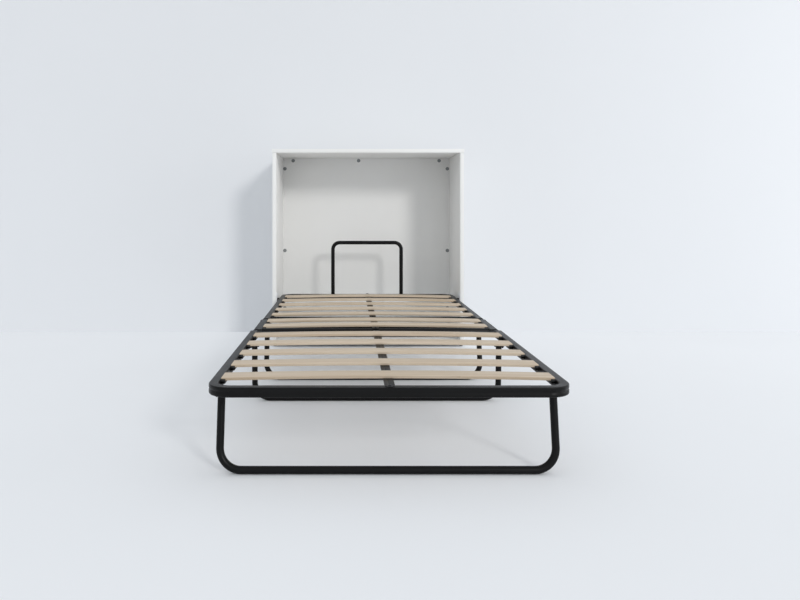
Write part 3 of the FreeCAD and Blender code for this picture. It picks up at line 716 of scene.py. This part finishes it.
def cross_head(name, radius, height, slot_width, slot_length, slot_depth, shank_radius=0.0,
               shank_length=0.0):
    """A low domed head with a cross recess, its crown at Z = 0; a shank below it if it has one."""
    profile = [(0, -height - shank_length), (shank_radius * 0.6, -height - shank_length),
               (shank_radius, -height - shank_length * 0.75), (shank_radius, -height)]
    if not shank_radius:
        profile = [(0, -height)]
    profile += [(radius * 0.96, -height), (radius, -height * 0.85), (radius, -height * 0.5),
                (radius * 0.93, -height * 0.16), (radius * 0.8, 0.0), (0, 0.0)]
    body = show(turned(profile, ROUND_STEPS, name), f"{name}_body")
    work = bmesh.new()
    for turn in (0, math.pi / 2):
        made = bmesh.ops.create_cube(work, size=1)
        stretch = Matrix.Diagonal((slot_length, slot_width, slot_depth * 2, 1))
        bmesh.ops.transform(work, verts=made["verts"], matrix=Matrix.Rotation(turn, 4, "Z") @ stretch)
    cutter = show(mesh_from(work, f"{name}_slots"), f"{name}_cutter")
    cut = body.modifiers.new("recess", "BOOLEAN")
    cut.object = cutter
    cut.operation = "DIFFERENCE"
    cut.solver = "EXACT"
    cut.use_self = True
    depsgraph = bpy.context.evaluated_depsgraph_get()
    mesh = bpy.data.meshes.new_from_object(body.evaluated_get(depsgraph), depsgraph=depsgraph)
    mesh.name = name
    bpy.data.objects.remove(body)
    bpy.data.objects.remove(cutter)
    return mesh


def rounded_block(work, low, high, radius, segments=2):
    """Adds a box with rounded edges to a bmesh."""
    made = bmesh.ops.create_cube(work, size=1)
    size = Vector(high) - Vector(low)
    middle = (Vector(high) + Vector(low)) / 2
    bmesh.ops.transform(work, verts=made["verts"],
                        matrix=Matrix.Translation(middle) @ Matrix.Diagonal((*size, 1)))
    edges = list({edge for vertex in made["verts"] for edge in vertex.link_edges})
    bmesh.ops.bevel(work, geom=edges, offset=radius, segments=segments, profile=0.5, affect="EDGES",
                    clamp_overlap=True)


class BED_OT_slats(bpy.types.Operator):
    """Builds the bowed beech slats of the three sections"""

    bl_idname = "bed.slats"
    bl_label = "Slats"

    def execute(self, context):
        settings = context.scene.bed_slats
        tree = slat_tree()
        for offset, (section, nodes) in enumerate(SLAT_NODES.items()):
            boxes = [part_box(node) for node in nodes]
            low, high = boxes[0]
            width = high.y - low.y
            vertices = frame["nodes"][nodes[0]].data.vertices
            ends = [vertex.co.z for vertex in vertices if vertex.co.x > high.x - MM]
            thickness = max(ends) - min(ends)
            crown = high.z - max(ends)
            first = Vector((0, box_middle(boxes[0]).y, max(ends) - thickness / 2))
            pitch = (box_middle(boxes[-1]).y - box_middle(boxes[0]).y) / (len(boxes) - 1)
            piece = grown(f"{section}_slats", tree, {
                "Half Length": high.x, "Crown": crown, "Width": width, "Thickness": thickness,
                "Edge Radius": settings.edge_radius, "First": first, "Pitch": pitch, "Count": len(boxes),
                "Seed": settings.seed + offset, "Material": finish("bonded_beech")})
            fit_in(piece, *nodes)
        return {"FINISHED"}


class BED_OT_slat_seats(bpy.types.Operator):
    """Builds the moulded seats that hold the slats' ends"""

    bl_idname = "bed.slat_seats"
    bl_label = "Slat seats"

    def execute(self, context):
        tree = fixing_tree("seats", "X", "Z")
        for section in SLAT_NODES:
            node = f"{section}_slat_seats"
            low, high = solid_boxes(node)[-1]
            reach = high.x - low.x
            half = (high.y - low.y) / 2
            slat_low, slat_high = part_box(SLAT_NODES[section][0])
            lip = half - (slat_high.y - slat_low.y) / 2 - SEAT_SIDE_GAP
            shelf = slat_low.z - low.z - SEAT_TOP_GAP
            work = bmesh.new()
            rounded_block(work, (-reach, -half, shelf * 0.35), (0, half, shelf), SEAT_ROUND)
            for side in (-1, 1):
                near, far = sorted((side * half, side * (half - lip)))
                rounded_block(work, (-reach, near, shelf * 0.35), (0, far, high.z - low.z), SEAT_ROUND)
            for at in range(5):
                middle = half * (at - 2) * 0.42
                rounded_block(work, (-reach * 0.9, middle - RIB_HALF, shelf * 0.12),
                              (0, middle + RIB_HALF, shelf * 0.6), RIB_ROUND)
            rounded_block(work, (-SEAT_BACK, -half * 0.96, 0), (0, half * 0.96, shelf), PLATE_EDGE)
            seat = mesh_from(work, f"{section}_seat")
            set_on(tree, node, f"{section}_seats", seat, finish("black_nylon"), outward,
                   lambda box: Vector((end_towards(box, outward(box)).x, box_middle(box).y, box[0].z)))
        return {"FINISHED"}


class BED_OT_rails(bpy.types.Operator):
    """Builds the square tube rails with their plugs, the cross tubes and the centre bars"""

    bl_idname = "bed.rails"
    bl_label = "Rails and bars"

    def execute(self, context):
        coat = finish("black_powder_coat")
        for node in ("foot_rail_loop", "head_rail_loop", "middle_rails"):
            eased(node, f"{node}_coated", coat)
        for node in ("foot_cross_tube", "middle_cross_tubes", "head_cross_tube"):
            eased(node, f"{node}_coated", coat, TUBE_EDGE)
        for node in ("foot_centre_bar", "middle_centre_bar", "head_centre_bar"):
            eased(node, f"{node}_coated", coat, PLATE_EDGE)
        eased("middle_rail_plugs", "middle_rail_plugs_moulded", finish("black_nylon"), CAP_EDGE)
        return {"FINISHED"}


class BED_OT_hoops(bpy.types.Operator):
    """Builds the bent tube legs and the mattress hoop"""

    bl_idname = "bed.hoops"
    bl_label = "Legs and hoop"

    def execute(self, context):
        settings = context.scene.bed_tubes
        tree = tube_tree()
        coat = finish("black_powder_coat")
        radius = settings.leg_diameter / 2
        for leg in ("front_leg", "middle_leg", "head_leg"):
            low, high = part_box(f"{leg}_hoop")
            pivot = Vector(JOINT[f"{leg}_fold"]["pos_m"])
            side = high.x - radius
            forward = pivot.y - low.y > high.y - pivot.y
            foot = Vector((0, low.y + radius if forward else high.y - radius, radius))
            down = (foot - pivot).normalized()
            top = pivot - down * settings.leg_past_pivot
            corners = ((1, top), (1, foot), (-1, foot), (-1, top))
            path = [Vector((sign * side, p.y, p.z)) for sign, p in corners]
            piece = grown(f"{leg}_tube", tree, {
                "Radius": radius, "Bend": settings.leg_bend, "Steps": 20, "Sides": 32, "Material": coat},
                polyline(leg, path), settings.leg_wall)
            fit_in(piece, f"{leg}_hoop")
        low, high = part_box("mattress_hoop")
        radius = settings.hoop_diameter / 2
        side = high.x - radius
        at = box_middle((low, high)).y
        top = high.z - radius
        path = [(side, at, low.z), (side, at, top), (-side, at, top), (-side, at, low.z)]
        piece = grown("mattress_hoop_tube", tree, {
            "Radius": radius, "Bend": settings.hoop_bend, "Steps": 16, "Sides": 28, "Material": coat},
            polyline("hoop", [Vector(p) for p in path]), settings.hoop_wall)
        fit_in(piece, "mattress_hoop")
        eased("hoop_end_caps", "hoop_end_caps_moulded", finish("black_nylon"), CAP_EDGE)
        return {"FINISHED"}


class BED_OT_hinges(bpy.types.Operator):
    """Builds the fold hinges, the leg tabs and the bed's pivots"""

    bl_idname = "bed.hinges"
    bl_label = "Hinges and tabs"

    def execute(self, context):
        coat = finish("black_powder_coat")
        for node in ("hinge_straps", "foot_hinge_knuckles", "head_hinge_knuckles", "foot_leg_tabs",
                     "head_leg_tabs"):
            eased(node, f"{node}_coated", coat, PLATE_EDGE)
        eased("pivot_plates", "pivot_plates_coated", finish("white_powder_coat"), PLATE_EDGE)
        eased("pivot_bushes", "pivot_bushes_moulded", finish("black_nylon"), TURNED_EDGE)
        eased("pivot_bolts", "pivot_bolts_plated", finish("black_zinc_steel"), PLATE_EDGE)
        return {"FINISHED"}


class BED_OT_fixings(bpy.types.Operator):
    """Builds the bolts, nuts, rivets, screws and fitting caps"""

    bl_idname = "bed.fixings"
    bl_label = "Fixings"

    def execute(self, context):
        settings = context.scene.bed_fixings
        tree = fixing_tree("fixings", "Z", "AUTO")
        zinc = finish("black_zinc_steel")
        for node, facing in (("hinge_pins", outward), ("foot_leg_bolts", outward), ("head_leg_bolts", inward),
                             ("hoop_bolts", lambda box: Y_AXIS)):
            low, high = solid_boxes(node)[-1]
            length = high.y - low.y if node == "hoop_bolts" else high.x - low.x
            head_radius = (high.z - low.z) / 2
            bolt = button_bolt(f"{node}_template", head_radius, head_radius / 2, BOLT_HEAD_HEIGHT, length,
                               settings.socket_share)
            set_on(tree, node, f"{node}_set", bolt, zinc, facing)
        for node, facing in (("hinge_nuts", inward), ("foot_leg_nuts", inward), ("head_leg_nuts", outward),
                             ("pivot_nuts", inward)):
            low, high = solid_boxes(node)[-1]
            corner = (high.y - low.y) / 2
            bore = corner * math.cos(HEX_HALF) / NUT_SHARE
            nut = lock_nut(f"{node}_template", corner, bore, high.x - low.x)
            set_on(tree, node, f"{node}_set", nut, zinc, facing)
        for section in SLAT_NODES:
            node = f"{section}_bar_rivets"
            low, high = solid_boxes(node)[0]
            rivet = self.rivet(f"{node}_template", (high.x - low.x) / 2, high.z - low.z)
            set_on(tree, node, f"{node}_set", rivet, zinc, lambda box: Z_AXIS)
        low, high = solid_boxes("pivot_plate_screws")[-1]
        radius = (high.y - low.y) / 2
        screw = cross_head("plate_screw", radius, SCREW_HEAD_HEIGHT, SCREW_SLOT_WIDTH, radius * 1.15,
                           SCREW_SLOT_DEPTH, SCREW_SHANK_RADIUS, high.x - low.x - SCREW_HEAD_HEIGHT)
        set_on(tree, "pivot_plate_screws", "pivot_plate_screw_set", screw, finish("white_powder_coat"), inward)
        low, high = solid_boxes("cam_lock_caps")[0]
        width = high.x - low.x
        cap = cross_head("cam_cap", width / 2, high.y - low.y, CAP_SLOT_WIDTH, width * 0.55, CAP_SLOT_DEPTH)
        set_on(tree, "cam_lock_caps", "cam_cap_set", cap, finish("grey_cap_plastic"), lambda box: -Y_AXIS)
        return {"FINISHED"}

    def rivet(self, name, radius, height):
        """A domed rivet with a small dimple, its crown at Z = 0 and its shank below."""
        dome = [(0, -height), (RIVET_SHANK_RADIUS, -height), (RIVET_SHANK_RADIUS, -RIVET_RISE),
                (radius, -RIVET_RISE)]
        for share in (0.3, 0.6, 0.85):
            angle = share * math.pi / 2
            dome.append((radius * math.cos(angle), -RIVET_RISE + RIVET_RISE * math.sin(angle)))
        dome += [(radius * 0.22, 0.0), (radius * 0.2, -RIVET_DIMPLE), (0, -RIVET_DIMPLE)]
        return turned(dome, RIVET_STEPS, name)


class BED_OT_welds(bpy.types.Operator):
    """Lays the weld beads of the tube frame"""

    bl_idname = "bed.welds"
    bl_label = "Welds"

    def execute(self, context):
        bead = context.scene.bed_tubes.bead
        tree = weld_tree()
        for section in SLAT_NODES:
            paths = []
            for node in (f"{section}_cross_tube", f"{section}_cross_tubes"):
                if node not in frame["nodes"]:
                    continue
                for low, high in solid_boxes(node):
                    middle = box_middle((low, high))
                    radius = (high.z - low.z) / 2
                    for x in (low.x, high.x):
                        turn = [math.radians(angle) for angle in range(35, 326, 10)]
                        around = [(radius * math.sin(a), radius * math.cos(a)) for a in turn]
                        paths.append([Vector((x, middle.y + y, middle.z + z)) for y, z in around])
            if section != "middle":
                paths += self.knuckle_seams(section)
                paths += self.tab_seams(section)
            else:
                paths += self.strap_seams()
            piece = grown(f"{section}_welds", tree, {
                "Bead": bead, "Ripple": bead * RIPPLE_SHARE, "Seed": WELD_SEED,
                "Material": finish("black_powder_coat")},
                polyline(f"{section}_weld_paths", *paths))
            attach(piece, f"{section}_section")
        return {"FINISHED"}

    def knuckle_seams(self, section):
        """Round three sides of each rail's end, where the knuckle's flange closes it; the top stays flat."""
        seams = []
        pin_y = JOINT[f"{section}_fold"]["pos_m"][1]
        for low, high in solid_boxes(f"{section}_hinge_knuckles"):
            y = high.y if high.y - pin_y > pin_y - low.y else low.y
            inset = 3 * MM
            for x in (low.x, high.x):
                seams.append([Vector((x, y, z)) for z in (low.z + inset, high.z - inset)])
            seams.append([Vector((x, y, low.z)) for x in (low.x + inset, high.x - inset)])
        return seams

    def tab_seams(self, section):
        """Along the outer face of the foot's tabs, and up both edges of the head's tabs."""
        seams = []
        for low, high in solid_boxes(f"{section}_leg_tabs"):
            inset = 2 * MM
            x = high.x if high.x > 0 else low.x
            if section == "foot":
                seams.append([Vector((x, y, high.z)) for y in (low.y + inset, high.y - inset)])
            else:
                rail_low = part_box("head_rail_loop")[0].z
                for y in (low.y, high.y):
                    seams.append([Vector((x, y, z)) for z in (rail_low + inset, high.z - inset)])
        return seams

    def strap_seams(self):
        """Short stitches along both edges of the hinge straps."""
        seams = []
        for low, high in solid_boxes("hinge_straps"):
            x = low.x if low.x > 0 else high.x
            for share in (0.2, 0.5, 0.8):
                middle = low.y + (high.y - low.y) * share
                for z in (low.z, high.z):
                    seams.append([Vector((x, y, z)) for y in (middle - STITCH_HALF, middle + STITCH_HALF)])
        return seams


class BED_OT_cabinet(bpy.types.Operator):
    """Builds the cabinet's boards with their banded edges, its glides and its dowels"""

    bl_idname = "bed.cabinet"
    bl_label = "Cabinet"

    def execute(self, context):
        settings = context.scene.bed_cabinet
        boards = {
            "side_panel_left": (("y", -1),),
            "side_panel_right": (("y", -1),),
            "top_panel": (("y", -1), ("x", -1), ("x", 1)),
            "bottom_panel": (("y", -1),),
            "back_panel": (),
        }
        for node, banded in boards.items():
            low, high = (Vector(corner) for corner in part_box(node))
            work = bmesh.new()
            bands = []
            for axis_name, side in banded:
                axis = "xyz".index(axis_name)
                band_low, band_high = low.copy(), high.copy()
                if side < 0:
                    band_high[axis] = low[axis] + settings.band
                    low[axis] += settings.band
                else:
                    band_low[axis] = high[axis] - settings.band
                    high[axis] -= settings.band
                bands.append((band_low, band_high))
            rounded_block(work, low, high, settings.board_round)
            core_faces = len(work.faces)
            for band_low, band_high in bands:
                rounded_block(work, band_low, band_high, settings.band_round / 2, segments=3)
            work.faces.ensure_lookup_table()
            for face in work.faces[core_faces:]:
                face.material_index = 1
            piece = show(mesh_from(work, node), f"{node}_board", finish("white_melamine"))
            piece.data.materials.append(finish("white_edge_band"))
            smooth(piece.data)
            fit_in(piece, node)
        eased("floor_glides", "floor_glides_moulded", finish("black_nylon"), TURNED_EDGE)
        eased("panel_dowels", "panel_dowels_turned", finish("bonded_beech"), TURNED_EDGE)
        return {"FINISHED"}


class BED_OT_stage(bpy.types.Operator):
    """Sets the floor, the wall, the light and the camera"""

    bl_idname = "bed.stage"
    bl_label = "Stage"

    def execute(self, context):
        scene = context.scene
        settings = scene.bed_stage
        wall_y = cad_box[1][1] + settings.wall_gap
        half = FLOOR_HALF_WIDTH
        floor = bpy.data.meshes.new("floor")
        floor.from_pydata([(-half, FLOOR_NEAR, 0), (half, FLOOR_NEAR, 0), (half, FLOOR_FAR, 0),
                           (-half, FLOOR_FAR, 0)], [], [(0, 1, 2, 3)])
        wall = bpy.data.meshes.new("wall")
        wall.from_pydata([(-half, wall_y, 0), (half, wall_y, 0), (half, wall_y, WALL_HEIGHT),
                          (-half, wall_y, WALL_HEIGHT)], [], [(0, 1, 2, 3)])
        for mesh, name, paint in ((floor, "stage_floor", "pale_floor"), (wall, "stage_wall", "pale_wall")):
            show(mesh, name, finish(paint))
        lamp = bpy.data.lights.new("window_key", "SUN")
        lamp.energy = settings.key_power
        lamp.angle = settings.key_spread
        lamp.color = KEY_COLOUR
        key = bpy.data.objects.new("window_key", lamp)
        key.rotation_euler = KEY_DIRECTION.to_track_quat("-Z", "Y").to_euler()
        scene.collection.objects.link(key)
        pane = bpy.data.lights.new("window_side", "AREA")
        pane.shape = "RECTANGLE"
        pane.size, pane.size_y = PANE_WIDTH, PANE_HEIGHT
        pane.energy = settings.side_power
        side = bpy.data.objects.new("window_side", pane)
        side.location = PANE_PLACE
        side.rotation_euler = (PANE_AIM - PANE_PLACE).to_track_quat("-Z", "Y").to_euler()
        scene.collection.objects.link(side)
        scene.world = self.sky(settings)
        camera = bpy.data.cameras.new("camera")
        camera.sensor_width = CAMERA_SENSOR
        camera.sensor_fit = "HORIZONTAL"
        camera.lens = CAMERA_LENS
        camera.shift_x = CAMERA_SHIFT_X
        camera.shift_y = CAMERA_SHIFT_Y
        viewer = bpy.data.objects.new("camera", camera)
        viewer.location = CAMERA_PLACE
        viewer.rotation_euler = (math.pi / 2, 0, 0)
        scene.collection.objects.link(viewer)
        scene.camera = viewer
        scene.view_settings.view_transform = "Standard"
        return {"FINISHED"}

    def sky(self, settings):
        """Even light that grows from horizon to zenith; the camera sees one plain tone past the floor."""
        world = bpy.data.worlds.new("even_sky")
        world.use_nodes = True
        tree = world.node_tree
        direction = add(tree, "ShaderNodeTexCoord").outputs["Generated"]
        up = add(tree, "ShaderNodeSeparateXYZ", {"Vector": direction}).outputs["Z"]
        level = add(tree, "ShaderNodeMapRange", {"Value": up, "To Min": settings.horizon,
                                                 "To Max": settings.zenith})
        looked_at = add(tree, "ShaderNodeLightPath").outputs["Is Camera Ray"]
        strength = add(tree, "ShaderNodeMix", {"Factor": looked_at, "A": level.outputs["Result"],
                                               "B": settings.beyond})
        light = next(node for node in tree.nodes if node.type == "BACKGROUND")
        light.inputs["Color"].default_value = SKY_COLOUR
        tree.links.new(strength.outputs["Result"], light.inputs["Strength"])
        return world


class BED_PT_panel(bpy.types.Panel):
    """Lists the bed's pieces"""

    bl_idname = "BED_PT_panel"
    bl_label = "Folding bed"
    bl_space_type = "VIEW_3D"
    bl_region_type = "UI"
    bl_category = "Folding bed"

    def draw(self, context):
        for settings_name, _ in SETTINGS:
            settings = getattr(context.scene, settings_name)
            box = self.layout.box()
            for name in settings.__annotations__:
                box.prop(settings, name)
        for piece in OPERATORS:
            self.layout.operator(piece.bl_idname)


SETTINGS = (
    ("bed_slats", BedSlatSettings),
    ("bed_tubes", BedTubeSettings),
    ("bed_fixings", BedFixingSettings),
    ("bed_cabinet", BedCabinetSettings),
    ("bed_stage", BedStageSettings),
)
OPERATORS = (BED_OT_stage, BED_OT_slats, BED_OT_slat_seats, BED_OT_rails, BED_OT_hoops, BED_OT_hinges,
             BED_OT_fixings, BED_OT_welds, BED_OT_cabinet)


def register():
    for name, group in SETTINGS:
        bpy.utils.register_class(group)
        setattr(bpy.types.Scene, name, PointerProperty(type=group))
    for item in (*OPERATORS, BED_PT_panel):
        bpy.utils.register_class(item)


def unregister():
    for item in (BED_PT_panel, *reversed(OPERATORS)):
        bpy.utils.unregister_class(item)
    for name, group in reversed(SETTINGS):
        delattr(bpy.types.Scene, name)
        bpy.utils.unregister_class(group)


def main():
    register()
    for piece in OPERATORS:
        group, name = piece.bl_idname.split(".")
        getattr(getattr(bpy.ops, group), name)()


if __name__ == "__main__":
    main()
